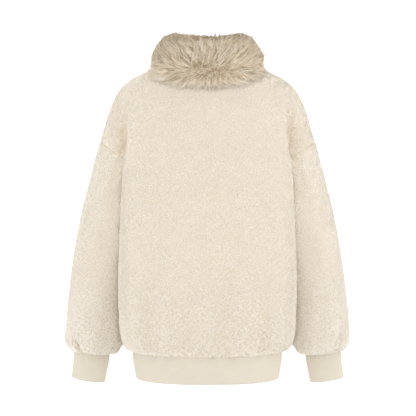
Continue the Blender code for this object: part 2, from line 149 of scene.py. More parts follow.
# Troughs that hang from the blousing above the hem band. place turns from the middle of the back.
TROUGH = "place width top deepest depth"
HEM_FOLDS = table(
    TROUGH,
    (-39, 5.0, -430, -606, 8.5),
    (-9, 5.5, -390, -604, 7.5),
    (15, 5.0, -470, -608, 7.5),
    (40, 6.0, -410, -602, 9.5),
    (64, 6.0, -500, -606, 4.0),
    (-66, 6.0, -480, -606, 4.0),
    (132, 6.0, -440, -605, 5.5),
    (166, 6.0, -400, -603, 5.0),
    (197, 6.5, -460, -606, 6.0),
    (226, 6.0, -420, -604, 5.5),
)
# Short puckers along the hem seam and soft hollows in the cloth, by the x and height of their
# middle. turn leans a hollow from upright, in degrees.
HOLLOW = "x height turn length width depth"
PANEL_CREASES = {
    "back": table(
        HOLLOW,
        (148, -66, -32, 40, 13, 3.2),
        (-150, -100, 24, 46, 14, 3.4),
        (-176, -150, 12, 34, 9, 1.8),
        (172, -142, -18, 36, 10, 1.8),
        (128, -560, 4, 60, 9, 1.8),
        (-96, -300, 8, 90, 26, 1.6),
        (60, -250, -10, 100, 30, 1.5),
        (16, -430, 3, 90, 24, 1.4),
        (152, -604, 8, 16, 5, 2.2),
        (104, -611, -6, 12, 4, 1.6),
        (74, -612, 5, 11, 4, 1.8),
        (20, -611, -4, 12, 4, 1.5),
        (-18, -612, 6, 10, 3.5, 1.6),
        (-66, -611, 3, 12, 4, 1.8),
        (-112, -610, -7, 13, 4.5, 1.6),
        (-148, -606, -10, 15, 5, 2.2),
    ),
    "front": table(
        HOLLOW,
        (140, -90, -26, 44, 14, 3.0),
        (-146, -84, 28, 42, 13, 3.2),
        (168, -150, -14, 36, 10, 1.8),
        (-172, -146, 16, 34, 9, 1.8),
        (70, -280, 9, 90, 26, 1.8),
        (-50, -330, -7, 100, 28, 1.6),
        (6, -200, 0, 80, 30, 1.4),
        (-120, -560, -4, 54, 9, 1.8),
        (146, -606, 9, 15, 5, 2.0),
        (92, -611, -5, 12, 4, 1.7),
        (34, -612, 4, 11, 4, 1.6),
        (-14, -611, -5, 12, 4, 1.7),
        (-82, -611, 4, 12, 4, 1.6),
        (-140, -607, -9, 15, 5, 2.2),
    ),
}


def along(x, y, place):
    """The value at a place on a smooth curve through points, which never overshoots them."""
    x, y = np.asarray(x, float), np.asarray(y, float)
    slope = np.diff(y) / np.diff(x)
    product, total = slope[:-1] * slope[1:], slope[:-1] + slope[1:]
    inner = np.where(product > 0, 2 * product / np.where(total == 0, 1, total), 0)
    tangent = np.concatenate([slope[:1], inner, slope[-1:]])
    place = np.clip(place, x[0], x[-1])
    i = np.clip(np.searchsorted(x, place) - 1, 0, len(slope) - 1)
    step = x[i + 1] - x[i]
    t = (place - x[i]) / step
    from_start = (1 + 2 * t) * (1 - t) ** 2 * y[i] + t * (1 - t) ** 2 * step * tangent[i]
    to_end = t * t * (3 - 2 * t) * y[i + 1] - t * t * (1 - t) * step * tangent[i + 1]
    return from_start + to_end


def at(sections, column, height):
    """A measure of a form at any height."""
    return along(sections["height"], sections[column], height)


def ease(value, low, high):
    """0 below low and 1 above high, with a smooth rise between."""
    t = np.clip((value - low) / (high - low), 0, 1)
    return t * t * (3 - 2 * t)


def between(start, end, share):
    return start + (end - start) * share


def unit(vectors):
    return vectors / np.maximum(np.linalg.norm(vectors, axis=-1, keepdims=True), 1e-9)


def rounded(sections, share, height):
    """How full a form's rounded outline stands at a share of its half width or of its depth."""
    power = at(sections, "roundness", height)
    return (1 - share**power) ** (1 / power)


def torso_depth(x, height, panel):
    """How far the body alone stands out from the side line at x."""
    across = np.clip(np.abs(x) / at(TORSO, "half_width", height), 0, 1)
    return at(TORSO, panel, height) * rounded(TORSO, across, height)


def torso_x(depth, height, panel):
    """The x at which the body alone stands out by this depth."""
    share = np.clip(depth / at(TORSO, panel, height), 0, 1)
    return at(TORSO, "half_width", height) * rounded(TORSO, share, height)


def panel_depth(x, height, panel):
    """Body and shoulder cap melted together above the armhole, and the body alone below it."""
    middle = at(SHOULDER_CAP, "outer", height) - CAP_HALF_WIDTH
    across = np.clip(np.abs(np.abs(x) - middle) / CAP_HALF_WIDTH, 0, 1)
    cap = at(SHOULDER_CAP, "half_depth", height) * np.sqrt(1 - across**2) * ease(height, *CAP_FADE)
    power = at(SHOULDER_CAP, "blend", height)
    return (torso_depth(x, height, panel) ** power + cap**power) ** (1 / power)


def running(steps):
    """How far one has come before the first step and after each."""
    return np.concatenate([[0], np.cumsum(steps)])


def shoulder_edge(share):
    """The shoulder seam from the neck to its end, by its share of the length."""
    heights = np.linspace(SHOULDER_POINT_HEIGHT, SHOULDER_END_HEIGHT, FINE_STEPS)
    outer = at(SHOULDER_CAP, "outer", heights)
    length = running(np.hypot(np.diff(outer), np.diff(heights)))
    height = np.interp(share * length[-1], length, heights)
    return at(SHOULDER_CAP, "outer", height), height


def armhole_edge(share, panel):
    """The armhole seam: round the arm to the crease, then down along the body to the underarm."""
    crease_depth = at(SHOULDER_CAP, "half_depth", CREASE_HEIGHT)
    crease_x = torso_x(crease_depth, CREASE_HEIGHT, panel)
    if share <= 0.5:
        turn = math.cos(math.pi * share)
        end_x = at(SHOULDER_CAP, "outer", SHOULDER_END_HEIGHT)
        return between(crease_x, end_x, turn), between(CREASE_HEIGHT, SHOULDER_END_HEIGHT, turn)
    down = 2 * share - 1
    height = between(CREASE_HEIGHT, UNDERARM_HEIGHT, down)
    return torso_x(crease_depth * (1 - down), height, panel), height


def fold_depth(folds, bearing, height):
    """Depth of the soft troughs at a bearing in degrees, fading out upwards and at the seam."""
    depth = np.zeros(np.broadcast(bearing, height).shape)
    for place, width, top, deepest, full in zip(*folds.values()):
        apart = (bearing - place + 180) % 360 - 180
        seam = ease(height, deepest - FOLD_END, deepest)
        depth += full * np.exp(-((apart / width) ** 2) / 2) * (1 - ease(height, deepest, top)) * seam
    return depth


def crease_depth(creases, across, height):
    """Depth of the listed hollows at a place on the cloth."""
    depth = np.zeros(np.broadcast(across, height).shape)
    for x, middle, turn, length, width, full in zip(*creases.values()):
        sine, cosine = math.sin(math.radians(turn)), math.cos(math.radians(turn))
        lengthwise = (height - middle) * cosine + (across - x) * sine
        sideways = (across - x) * cosine - (height - middle) * sine
        depth += full * np.exp(-((lengthwise / length) ** 2) - (sideways / width) ** 2)
    return depth


def panel_line(panel, row):
    """Points across a panel's outer face. row runs 0 to 1 along the shoulder, to 2 round the armhole
    and to 3 at the hem."""
    bearing = np.linspace(-90, 90, FINE_STEPS + 1)
    sine, cosine = np.sin(np.radians(bearing)), np.cos(np.radians(bearing))
    out = 1 if panel == "back" else -1
    if row <= 2:
        neck, level = NECK_HEIGHT[panel], SHOULDER_END_LEVEL[panel]
        if row <= 1:
            edge_x, edge_height = shoulder_edge(row)
            centre = between(neck, level, row)
            even_x = edge_x
        else:
            edge_x, edge_height = armhole_edge(row - 1, panel)
            end_x = at(SHOULDER_CAP, "outer", SHOULDER_END_HEIGHT)
            side_x = at(TORSO, "half_width", UNDERARM_HEIGHT)
            even_x = between(end_x, side_x, row - 1)
            centre = between(level, UNDERARM_HEIGHT, row - 1)
        height = between(centre, edge_height, sine**2)
        x = even_x * sine + (edge_x - even_x) * np.copysign(sine**4, sine)
        y = panel_depth(x, height, panel)
        if row <= 1:
            y[[0, -1]] = 0  # back and front meet in the shoulder seam
    else:
        height = np.full(len(sine), between(UNDERARM_HEIGHT, HEM_SEAM_HEIGHT, row - 2))
        fold = fold_depth(HEM_FOLDS, bearing if panel == "back" else 180 - bearing, height)
        x = (at(TORSO, "half_width", height) - fold) * sine
        y = at(TORSO, panel, height) * rounded(TORSO, np.abs(sine), height) - fold * cosine
    return np.column_stack([x, at(TORSO, "side_y", height) + out * y, height])


def evenly(points, count):
    """count points at equal steps along the line through the points, from its first to its last."""
    length = running(np.linalg.norm(np.diff(points, axis=0), axis=1))
    wanted = np.linspace(0, length[-1], count)
    return np.column_stack([np.interp(wanted, length, points[:, i]) for i in range(3)])


def once_round(count):
    """Angles at equal steps once round."""
    return math.tau * np.arange(count) / count


def grid_normals(points, closed, flip):
    """Outward directions of a grid of points; a closed grid joins its last column to its first."""
    wrapped = np.concatenate([points[:, -1:], points, points[:, :1]], axis=1) if closed else points
    across = np.gradient(wrapped, axis=1)
    across = across[:, 1:-1] if closed else across
    down = np.gradient(points, axis=0)
    normals = np.cross(across, down)
    return unit(-normals if flip else normals)


def seam_distance(points, closed):
    """How far each point of a cloth lies from the nearest seam at its edges."""
    nearest = np.inf
    for way in (0,) if closed else (0, 1):
        steps = np.linalg.norm(np.diff(points, axis=way), axis=2)
        length = np.apply_along_axis(running, way, steps)
        nearest = np.minimum(nearest, np.minimum(length, length.take([-1], way) - length))
    return nearest


def valley_depth(x, height):
    """Depth of the hollow between the body and the shoulder cap."""
    beyond = np.abs(x) - at(VALLEY, "edge", height)
    far = np.exp(-np.maximum(beyond - VALLEY_SIDE, 0) / VALLEY_WIDTH)
    return at(VALLEY, "depth", height) * ease(beyond, 0, VALLEY_SIDE) * far * ease(height, *CAP_FADE)


def ridge_rise(points):
    """How far the side of a panel is pushed out over the sleeve."""
    x, y, height = np.moveaxis(points, -1, 0)
    out = np.abs(y - at(TORSO, "side_y", height))
    half_way = at(TORSO, "half_width", UNDERARM_HEIGHT) / 2
    side = ease(np.abs(x), half_way, at(VALLEY, "edge", height))
    return at(RIDGE, "rise", height) * np.exp(-(((out - RIDGE_DEPTH) / RIDGE_WIDTH) ** 2)) * side


def as_cloth(points, normals, closed, flip, creases, matted):
    """Sinks a face of the garment to its knitted ground, with its creases and drawn-down seams.

    The last argument is 1 where the pile's tone is darkened fully, as painted shade in a fold; painted
    shade beside the seams is added here.
    """
    edge = seam_distance(points, closed)
    height = points[..., 2]
    hidden = ease(height, UNDERARM_HEIGHT - SEAM_FILL, UNDERARM_HEIGHT)
    hidden *= 1 - ease(height, CREASE_HEIGHT, CREASE_HEIGHT + SEAM_FILL)
    hidden = np.maximum(hidden, ease(height, *COLLAR_COVERS))
    dip = SEAM_DIP - (SEAM_DIP + PILE_DEPTH) * hidden
    sunk = PILE_DEPTH + dip * np.exp(-edge / SEAM_DIP_WIDTH) + creases * ease(edge, 0, SEAM_CALM)
    # painted shade: the pile's tone is darkened beside each seam
    matted = np.maximum(matted, SEAM_PAINTED_SHADE * np.exp(-((edge / SEAM_SHADE_REACH) ** 2)))
    cloth = {"points": points - normals * sunk[..., None], "normals": normals, "edge": edge}
    return {**cloth, "matted": matted, "closed": closed, "flip": flip}


def add_mesh(name, points, faces, *materials):
    """A smooth mesh object of the garment, riding on its one body."""
    mesh = bpy.data.meshes.new(name)
    mesh.from_pydata((np.asarray(points) * MM).tolist(), [], np.asarray(faces).tolist())
    mesh.validate()
    mesh.shade_smooth()
    for material in materials:
        mesh.materials.append(material)
    item = bpy.data.objects.new(name, mesh)
    bpy.context.scene.collection.objects.link(item)
    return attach(item, "root")


def grid_faces(rows, columns, closed):
    row, column = np.mgrid[0 : rows - 1, 0 : columns if closed else columns - 1]
    beside = (column + 1) % columns
    corners = (row * columns + column, row * columns + beside, (row + 1) * columns + beside)
    return np.stack([*corners, (row + 1) * columns + column], axis=-1).reshape(-1, 4)


def add_shell(name, cloth, thickness, *materials):
    """A cloth as a closed thin wall: outer face, inner face and the rims that join them."""
    points, normals, closed = cloth["points"], cloth["normals"], cloth["closed"]
    rows, columns = points.shape[:2]
    outer = grid_faces(rows, columns, closed)
    if cloth["flip"]:
        outer = outer[:, ::-1]
    edges = [tuple(edge) for i in range(4) for edge in outer[:, [i, (i + 1) % 4]].tolist()]
    used = set(edges)
    rim = np.array([edge for edge in edges if edge[::-1] not in used])
    count = rows * columns
    rims = np.column_stack([rim[:, 1], rim[:, 0], rim[:, 0] + count, rim[:, 1] + count])
    faces = np.vstack([outer, outer[:, ::-1] + count, rims])
    both = np.vstack([points.reshape(-1, 3), (points - normals * thickness).reshape(-1, 3)])
    item = add_mesh(name, both, faces, *materials)
    side = np.zeros(len(faces), int)
    side[len(outer) :] = len(materials) - 1
    item.data.polygons.foreach_set("material_index", side)
    return item


def feed(tree, node, inputs):
    """Sets a node's inputs to values, or joins them to outputs of other nodes."""
    for socket, given in inputs.items():
        if isinstance(given, bpy.types.NodeSocket):
            tree.links.new(given, node.inputs[socket])
        else:
            node.inputs[socket].default_value = given


def add_node(tree, kind, inputs=(), **settings):
    """A shader node with its own properties set, and its inputs fed."""
    node = tree.nodes.new(kind)
    for key, value in settings.items():
        setattr(node, key, value)
    feed(tree, node, dict(inputs))
    return node


def new_material(name, colour, roughness, sheen):
    material = bpy.data.materials.new(name)
    material.use_nodes = True
    shader = material.node_tree.nodes["Principled BSDF"]
    shader.inputs["Base Color"].default_value = (*colour, 1)
    shader.inputs["Roughness"].default_value = roughness
    shader.inputs["Sheen Weight"].default_value = sheen
    shader.inputs["Sheen Tint"].default_value = (*SHEEN_TINT, 1)
    shader.inputs["Specular IOR Level"].default_value = CLOTH_GLOSS
    return material, material.node_tree, shader


def mottled(name, colour, roughness, sheen, dark, light, **grain):
    """A cloth whose colour drifts between two shares of itself, through noise of this grain."""
    material, tree, shader = new_material(name, colour, roughness, sheen)
    place = add_node(tree, "ShaderNodeTexCoord").outputs["Object"]
    noise = add_node(tree, "ShaderNodeTexNoise", {"Vector": place, **grain})
    ramp = add_node(tree, "ShaderNodeValToRGB", {"Fac": noise.outputs["Fac"]})
    for element, share in zip(ramp.color_ramp.elements, (dark, light)):
        element.color = (*(channel * share for channel in colour), 1)
    feed(tree, shader, {"Base Color": ramp.outputs["Color"]})
    return material, tree, shader, place


def bumped(tree, shader, height, distance):
    bump = add_node(tree, "ShaderNodeBump", {"Height": height, "Distance": distance, "Strength": 1.0})
    feed(tree, shader, {"Normal": bump.outputs["Normal"]})


def fleece_ground():
    """The knitted ground between the tufts, tangled with the roots of the pile; its darker, warmer
    colour is partly its own and partly painted shade deep in the pile.
    """
    material, tree, shader, place = mottled(
        "fleece_ground", GROUND_COLOUR, roughness=0.95, sheen=0.25, dark=0.9, light=1.08, **GROUND_GRAIN
    )
    curls = add_node(tree, "ShaderNodeTexVoronoi", {"Vector": place, "Scale": 330.0})
    bumped(tree, shader, curls.outputs["Distance"], 0.0009)
    return material


def fleece_inside():
    """The smooth knitted back of the fleece, with its courses."""
    material, tree, shader, place = mottled(
        "fleece_inside", INSIDE_COLOUR, roughness=0.9, sheen=0.15, dark=0.92, light=1.06, **INSIDE_GRAIN
    )
    knit = {"Vector": place, "Scale": 240.0, "Distortion": 0.6}
    courses = add_node(tree, "ShaderNodeTexWave", knit, bands_direction="Z")
    bumped(tree, shader, courses.outputs["Fac"], 0.0004)
    return material


ground_material, inside_material = fleece_ground(), fleece_inside()
panel_rows = np.concatenate([
    np.linspace(0, 1, SHOULDER_ROWS, endpoint=False),
    np.linspace(1, 2, ARMHOLE_ROWS, endpoint=False),
    np.linspace(2, 3, BODY_ROWS),
])
armhole_rows = np.arange(SHOULDER_ROWS, SHOULDER_ROWS + ARMHOLE_ROWS + 1)
shared_rows = np.setdiff1d(np.arange(len(panel_rows)), armhole_rows[1:-1])
faces, facing = {}, {}
for panel in ("back", "front"):
    faces[panel] = np.array([evenly(panel_line(panel, row), PANEL_COLUMNS + 1) for row in panel_rows])
    facing[panel] = grid_normals(faces[panel], False, panel == "front")
for column in (0, -1):  # the shoulder and side seams
    both = unit(facing["back"][shared_rows, column] + facing["front"][shared_rows, column])
    facing["back"][shared_rows, column] = facing["front"][shared_rows, column] = both
panels = {}
for panel, face in faces.items():
    x, height = face[..., 0], face[..., 2]
    hollows = crease_depth(PANEL_CREASES[panel], x, height)
    valley = valley_depth(x, height)
    bearing = np.degrees(np.arcsin(np.clip(x / at(TORSO, "half_width", height), -1, 1)))
    trough = fold_depth(HEM_FOLDS, bearing if panel == "back" else 180 - bearing, height)
    # painted shade: the pile's tone is darkened in the valley and in the hem troughs
    matted = valley / CREASE_SHADE_DEPTH + trough / TROUGH_SHADE_DEPTH
    hollows += valley - ridge_rise(face)
    panels[panel] = as_cloth(face, facing[panel], False, panel == "front", hollows, matted)
    item = add_shell(panel + "_panel", panels[panel], GROUND_THICKNESS, ground_material, inside_material)
    panels[panel]["item"] = item
    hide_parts(panel)

# ==== Sleeves ===================================================================================
# Two full sleeves of the same fleece, set in at the dropped armhole seam. They hang a little forward
# beside the body, and the cuffs gather them in at the wrists.
CAP_END_HEIGHT = -312.0
SLEEVE_SEAM_HEIGHT = -637.0
SLEEVE_COLUMNS = 2 * ARMHOLE_ROWS
CAP_ROWS, SLEEVE_ROWS = 14, 64
CLEARANCE = 1.6  # between a sleeve and the side of the body it rests against
CAP_CLEARANCE = 0.4  # share of the clearance that a sleeve has where it leaves the armhole
SEAM_GAP = 0.3
# Where a sleeve rests on the body their piles press into each other, and the sleeve swells beside it.
PRESSED, PRESS_REACH, PRESS_FADE = 4.0, 12.0, 26.0
SWELL_WIDTH = 9.0
PRESS_SEAM, PRESS_ONSET = 5.0, 10.0  # both set in over these distances from the seam and the crease
FOLD = table(
    "height swell matted",  # the last column is how far from the line the pile's tone is darkened, as painted shade
    (-209, 6, 26),
    (-265, 6, 26),
    (-345, 14, 7),
    (-430, 10, 16),
    (-520, 8, 26),
    (-600, 4, 26),
)
SEAM_ROWS = 4  # over which a sleeve turns from the direction of the armhole to its own

SLEEVE = table(
    "height outer half_width half_depth centre_y tilt",
    (-312, 277, 62, 67, -16, 0),
    (-365, 288, 62, 68, -18, 0),
    (-436, 300, 62, 68, -22, 0),
    (-506, 309, 62, 67, -26, 0),
    (-568, 315, 62, 66, -30, 1),
    (-606, 318, 62, 65, -32, 3),
    (-621, 315, 60.5, 62, -34, 4),
    (-631, 308, 53, 54, -35, 5),
    (-637, 299, 40.4, 34.4, -36, 5),
)
CUFF = table(
    "height centre_x centre_y half_width half_depth tilt",
    (-629, 258.6, -36, 40, 34, 5),
    (-637, 258.6, -36, 40, 34, 5),
    (-665, 261.5, -37, 38.5, 33, 7),
    (-695, 266.5, -38, 37.5, 32, 8.8),
)
# Gathers above the cuffs. place turns from the outer edge of the sleeve towards its back.
SLEEVE_FOLDS = {
    "left": table(
        TROUGH,
        (24, 9, -500, -618, 4.0),
        (62, 9, -540, -621, 5.0),
        (118, 10, -470, -616, 4.5),
        (205, 10, -520, -618, 4.0),
        (262, 9, -500, -620, 5.0),
        (318, 10, -480, -617, 4.5),
    ),
    "right": table(
        TROUGH,
        (14, 8, -560, -620, 5.0),
        (52, 9, -500, -618, 4.0),
        (98, 10, -520, -619, 4.5),
        (190, 10, -500, -618, 4.0),
        (248, 9, -480, -617, 4.5),
        (304, 10, -520, -620, 5.0),
    ),
}
SLEEVE_RADIUS = 64.0  # turns a sleeve's bearing into the distance round it
# Soft hollows along the sleeves, by the distance round from the outer edge towards the back.
SLEEVE_CREASES = {
    "left": table(
        HOLLOW,
        (62, -330, 16, 44, 12, 2.2),
        (101, -262, -8, 34, 12, 4.0),
        (104, -395, 4, 46, 12, 2.6),
        (128, -352, -12, 50, 14, 2.4),
        (84, -430, -22, 40, 13, 1.8),
        (40, -500, 10, 56, 14, 2.0),
        (100, -560, 6, 34, 9, 2.2),
        (30, -606, -6, 18, 5, 2.4),
        (67, -614, -24, 17, 5.5, 7.0),
        (74, -628, 70, 9, 4, 5.0),
        (290, -420, 8, 60, 16, 2.4),
        (330, -540, -10, 50, 14, 2.2),
        (240, -350, 14, 50, 14, 2.2),
    ),
    "right": table(
        HOLLOW,
        (70, -336, -14, 46, 13, 2.4),
        (101, -258, 8, 36, 12, 4.0),
        (103, -410, -4, 50, 12, 2.6),
        (120, -380, 10, 52, 14, 2.0),
        (50, -450, 20, 42, 13, 1.8),
        (92, -520, -8, 54, 14, 2.0),
        (26, -580, 4, 34, 8, 2.6),
        (75, -614, 18, 17, 5, 7.0),
        (60, -600, -4, 24, 5, 5.0),
        (112, -606, -5, 18, 5, 2.4),
        (280, -400, -9, 60, 16, 2.4),
        (326, -530, 12, 50, 14, 2.2),
        (236, -356, -12, 50, 14, 2.2),
    ),
}


def tilted_ring(sections, height, angle, proud):
    """One round of a sleeve's form about x 0, standing proud of its measures."""
    x = (at(sections, "half_width", height) + proud) * np.cos(angle)
    y = (at(sections, "half_depth", height) + proud) * np.sin(angle) + at(sections, "centre_y", height)
    return x, y, height + x * math.tan(math.radians(at(sections, "tilt", height)))


def cuff_ring(height, columns, proud=0.0):
    """One round of the left cuff, from its outer edge towards its back."""
    x, y, z = tilted_ring(CUFF, height, once_round(columns), proud)
    return np.column_stack([x + at(CUFF, "centre_x", height), y, z])


def body_side(points):
    """The x of the side of the body beside each point, or 0 where the point is clear of it."""
    y, height = points[..., 1], points[..., 2]
    depth = y - at(TORSO, "side_y", height)
    beside = [torso_x(np.abs(depth), height, panel) for panel in ("back", "front")]
    reach = np.where(depth > 0, at(TORSO, "back", height), at(TORSO, "front", height))
    return np.where(np.abs(depth) < reach, np.where(depth > 0, *beside), 0)


def clear_of_body(points, clearance):
    """Presses points of the left sleeve out of the side of the body."""
    pressed = np.maximum(points[..., 0], body_side(points) + clearance)
    return np.concatenate([pressed[..., None], points[..., 1:]], axis=-1)


def rested(face):
    """A left sleeve's face pressed against the side of the body, and how far it lay from it before."""
    height, towards_back = face[..., 2], grid_normals(face, True, True)[..., 1]
    apart = face[..., 0] - body_side(face)
    share = ease(seam_distance(face, True), 0, PRESS_SEAM)
    share *= ease(-height, -CREASE_HEIGHT, PRESS_ONSET - CREASE_HEIGHT)
    pressed = np.clip(apart + PRESSED, 0, PRESS_REACH)
    pressed *= 1 - ease(apart, PRESS_REACH - PRESSED, PRESS_FADE)
    swell = at(FOLD, "swell", height) * np.exp(-np.maximum(apart, 0) / SWELL_WIDTH) * towards_back
    shift = np.stack([-pressed, swell, 0 * swell], axis=-1)
    return face + shift * share[..., None], apart


def sleeve_ring(height, folds):
    """One round of the left sleeve, from its outer edge over the back, inner side and front."""
    angle = once_round(FINE_STEPS)
    x, y, z = tilted_ring(SLEEVE, height, angle, -fold_depth(folds, np.degrees(angle), height))
    x = x + at(SLEEVE, "outer", height) - at(SLEEVE, "half_width", height)
    ring = clear_of_body(np.column_stack([x, y, z]), CLEARANCE)
    return evenly(np.vstack([ring, ring[:1]]), SLEEVE_COLUMNS + 1)[:-1]


armhole, armhole_facing = (
    np.vstack([cloth["back"][armhole_rows, -1], cloth["front"][armhole_rows[-2:0:-1], -1]])
    for cloth in (faces, facing)
)
sleeves = {}
for side, mirror in (("left", 1), ("right", -1)):
    folds = SLEEVE_FOLDS[side]
    cap_end = sleeve_ring(CAP_END_HEIGHT, folds)
    rings = [armhole]
    for share in np.arange(1, CAP_ROWS + 1) / CAP_ROWS:
        ring = between(armhole, cap_end, share)
        rings.append(clear_of_body(ring, CLEARANCE * min(1, CAP_CLEARANCE + share)))
    lengthwise = np.linspace(CAP_END_HEIGHT, SLEEVE_SEAM_HEIGHT, SLEEVE_ROWS + 1)[1:-1]
    rings += [sleeve_ring(height, folds) for height in lengthwise]
    rings.append(cuff_ring(SLEEVE_SEAM_HEIGHT, SLEEVE_COLUMNS, SEAM_GAP))
    face, apart = rested(np.array(rings))
    around = SLEEVE_RADIUS * once_round(SLEEVE_COLUMNS)
    hollows = crease_depth(SLEEVE_CREASES[side], around[None], face[..., 2])
    normals = grid_normals(face, True, True)
    for row in range(SEAM_ROWS):
        normals[row] = unit(armhole_facing * (1 - row / SEAM_ROWS) + normals[row] * (row / SEAM_ROWS))
    # painted shade: the pile's tone is darkened where the sleeve rests on the body and in its hollows
    matted = 1 - ease(apart / at(FOLD, "matted", face[..., 2]), 0, 1)
    matted = np.maximum(matted, np.clip(hollows / CREASE_SHADE_DEPTH, 0, 1))
    sleeve = as_cloth(face, normals, True, True, hollows, matted)
    if mirror < 0:
        turned = np.array([-1, 1, 1])
        sleeve["points"], sleeve["normals"] = sleeve["points"] * turned, sleeve["normals"] * turned
        sleeve["flip"] = False
    item = add_shell(side + "_sleeve", sleeve, GROUND_THICKNESS, ground_material, inside_material)
    sleeves[side] = {**sleeve, "item": item}
    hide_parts("sleeve_" + side)

# ==== Hem band and cuffs ========================================================================
# Smooth double-knit jersey, cut on the round, folded in half and sewn to the fleece a little
# stretched, so that the cloth above blouses over them. Each has one join from seam to fold.
HEM_BAND = table(
    "height half_width back front roundness side_y",
    (-619, 163.5, 121, 105, 2.3, -2),
    (-640, 163.5, 121, 105, 2.3, -2),
    (-660, 160.5, 119, 103, 2.3, -2),
    (-683, 157, 116, 101, 2.3, -2),
)
JERSEY_WALL = 3.0  # two layers
JERSEY_COLOUR = (0.655, 0.597, 0.498)
JERSEY_GRAIN = {"Scale": 34.0, "Detail": 5.0, "Roughness": 0.6}
BAND_ROWS, JERSEY_FOLD_ROWS = 20, 7
HEM_COLUMNS, CUFF_COLUMNS = 336, 112
HEM_JOIN, CUFF_JOIN = 0.25, 0.5  # as shares of a turn: at the side, and beside the body
WALE, COURSE = 1.3, 1.0  # the knit's stitches across and along
STITCH_SCALE = 0.314  # gives a wave texture one stitch for each unit
# Puckers below the seam: strength, number round the band, start, and an uneven pull and its number.
PUCKERS = ((1.0, 19, 0, 2, 3), (0.7, 31, 1, 1, 5))
RIPPLE_DEPTH, RIPPLE_FADE, RIPPLE_LIMIT = 0.35, 12.0, 1.5
JOIN_DEPTH, JOIN_WIDTH = 0.7, 1.3


def hem_ring(height, columns, proud=0.0):
    """One round of the hem band, from the middle of the back towards +X."""
    angle = once_round(columns)
    sine, cosine = np.sin(angle), np.cos(angle)
    depth = np.where(cosine >= 0, at(HEM_BAND, "back", height), at(HEM_BAND, "front", height))
    y = np.copysign(depth * rounded(HEM_BAND, np.abs(sine), height), cosine)
    x = at(HEM_BAND, "half_width", height) * sine
    y = y + proud * cosine + at(HEM_BAND, "side_y", height)
    return np.column_stack([x + proud * sine, y, np.full(columns, height)])


def jersey():
    """Plain knit: upright wales of small stitches, a little uneven, with a matt face."""
    material, tree, shader, _ = mottled(
        "jersey", JERSEY_COLOUR, roughness=0.85, sheen=0.3, dark=0.94, light=1.05, **JERSEY_GRAIN
    )
    chart = add_node(tree, "ShaderNodeUVMap", uv_map="OFBake")
    stitches = add_node(tree, "ShaderNodeMapping", {"Vector": chart.outputs["UV"]})
    waves = []
    for way, distortion in (("X", 0.5), ("Y", 0.8)):  # wales and courses
        knit = {"Vector": stitches.outputs["Vector"], "Scale": STITCH_SCALE, "Distortion": distortion}
        waves.append(add_node(tree, "ShaderNodeTexWave", knit, bands_direction=way).outputs["Fac"])
    pattern = add_node(tree, "ShaderNodeMath", enumerate(waves), operation="ADD")
    bumped(tree, shader, pattern.outputs["Value"], 0.00012)
    return material, stitches


def add_folded_band(name, ring, sections, columns, join, flip, mirror=1):
    """A band folded at its lower edge: down the outer layer, round the fold and up the inner one."""
    fold, bottom, top = JERSEY_WALL / 2, sections["height"][0], sections["height"][-1]
    outer = [(height, 0.0) for height in np.linspace(top, bottom + fold, BAND_ROWS)]
    turn = np.linspace(0, math.pi, JERSEY_FOLD_ROWS)[1:-1]
    round_edge = [(bottom + fold - fold * math.sin(a), fold * math.cos(a) - fold) for a in turn]
    inner = [(height, -JERSEY_WALL) for height, _ in reversed(outer)]
    around = once_round(columns)
    pucker = sum(
        strong * np.sin(many * around + start + pull * np.sin(few * around))
        for strong, many, start, pull, few in PUCKERS
    )
    apart = (np.arange(columns) / columns - join + 0.5) % 1 - 0.5
    girth = np.linalg.norm(np.diff(ring(top, columns, 0.0), axis=0), axis=1).sum()
    seam = JOIN_DEPTH * np.exp(-((apart * girth / JOIN_WIDTH) ** 2))
    rings = []
    for height, proud in outer + round_edge + inner:
        ripple = RIPPLE_DEPTH * pucker * math.exp((height - SLEEVE_SEAM_HEIGHT) / RIPPLE_FADE)
        rings.append(ring(height, columns, proud + np.clip(ripple, -RIPPLE_LIMIT, RIPPLE_LIMIT) - seam))
    points = np.array(rings) * np.array([mirror, 1, 1])
    faces = grid_faces(len(rings) + 1, columns, True) % (len(rings) * columns)
    item = add_mesh(name, points.reshape(-1, 3), faces[:, ::-1] if flip else faces)
    uv = item.data.uv_layers.new(name="OFBake")
    row, column = np.divmod(np.arange(len(faces)), columns)
    chart = np.stack([column, row], axis=-1)[:, None] + np.array([(0, 0), (1, 0), (1, 1), (0, 1)])
    chart = chart / (columns, len(rings))
    uv.data.foreach_set("uv", (chart[:, ::-1] if flip else chart).ravel())
    material, stitches = jersey()
    length = np.linalg.norm(np.diff(points[:, 0], axis=0), axis=1).sum()
    stitches.inputs["Scale"].default_value = (girth / WALE, length / COURSE, 1)
    item.data.materials.append(material)
    return item


hem_tube = add_folded_band("hem_tube", hem_ring, HEM_BAND, HEM_COLUMNS, HEM_JOIN, False)
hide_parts("hem_band")
for side, mirror in (("left", 1), ("right", -1)):
    left = mirror > 0
    cuff = add_folded_band(side + "_cuff", cuff_ring, CUFF, CUFF_COLUMNS, CUFF_JOIN, left, mirror)
    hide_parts("cuff_" + side)

# ==== Sherpa pile ===============================================================================
# The pile of the fleece: short tufts of soft polyester, curled into each other in loose whorls and
# brushed slightly downwards, a little shaggier where the cloth blouses above the bands.
TUFT_SPACING = 3.25
TUFT_RISE = (-0.5, 1.15, -0.2)  # over the ground at the tuft's three knots
TUFT_RUN = (-3.2, 0.0, 3.4)  # along it
TUFT_RADIUS = 1.25
STRAND_SIDES = 3
CHART_MARGIN, CHART_WIDTH = 0.02, 0.004  # of OFBake left free at its edges, and taken up by a strand
SEAM_MARGIN = 2.2
PILE_SOFTNESS = 0.6
PILE_FULL_FROM = 0.25  # share of a tuft's length at which its painted root shade has faded out
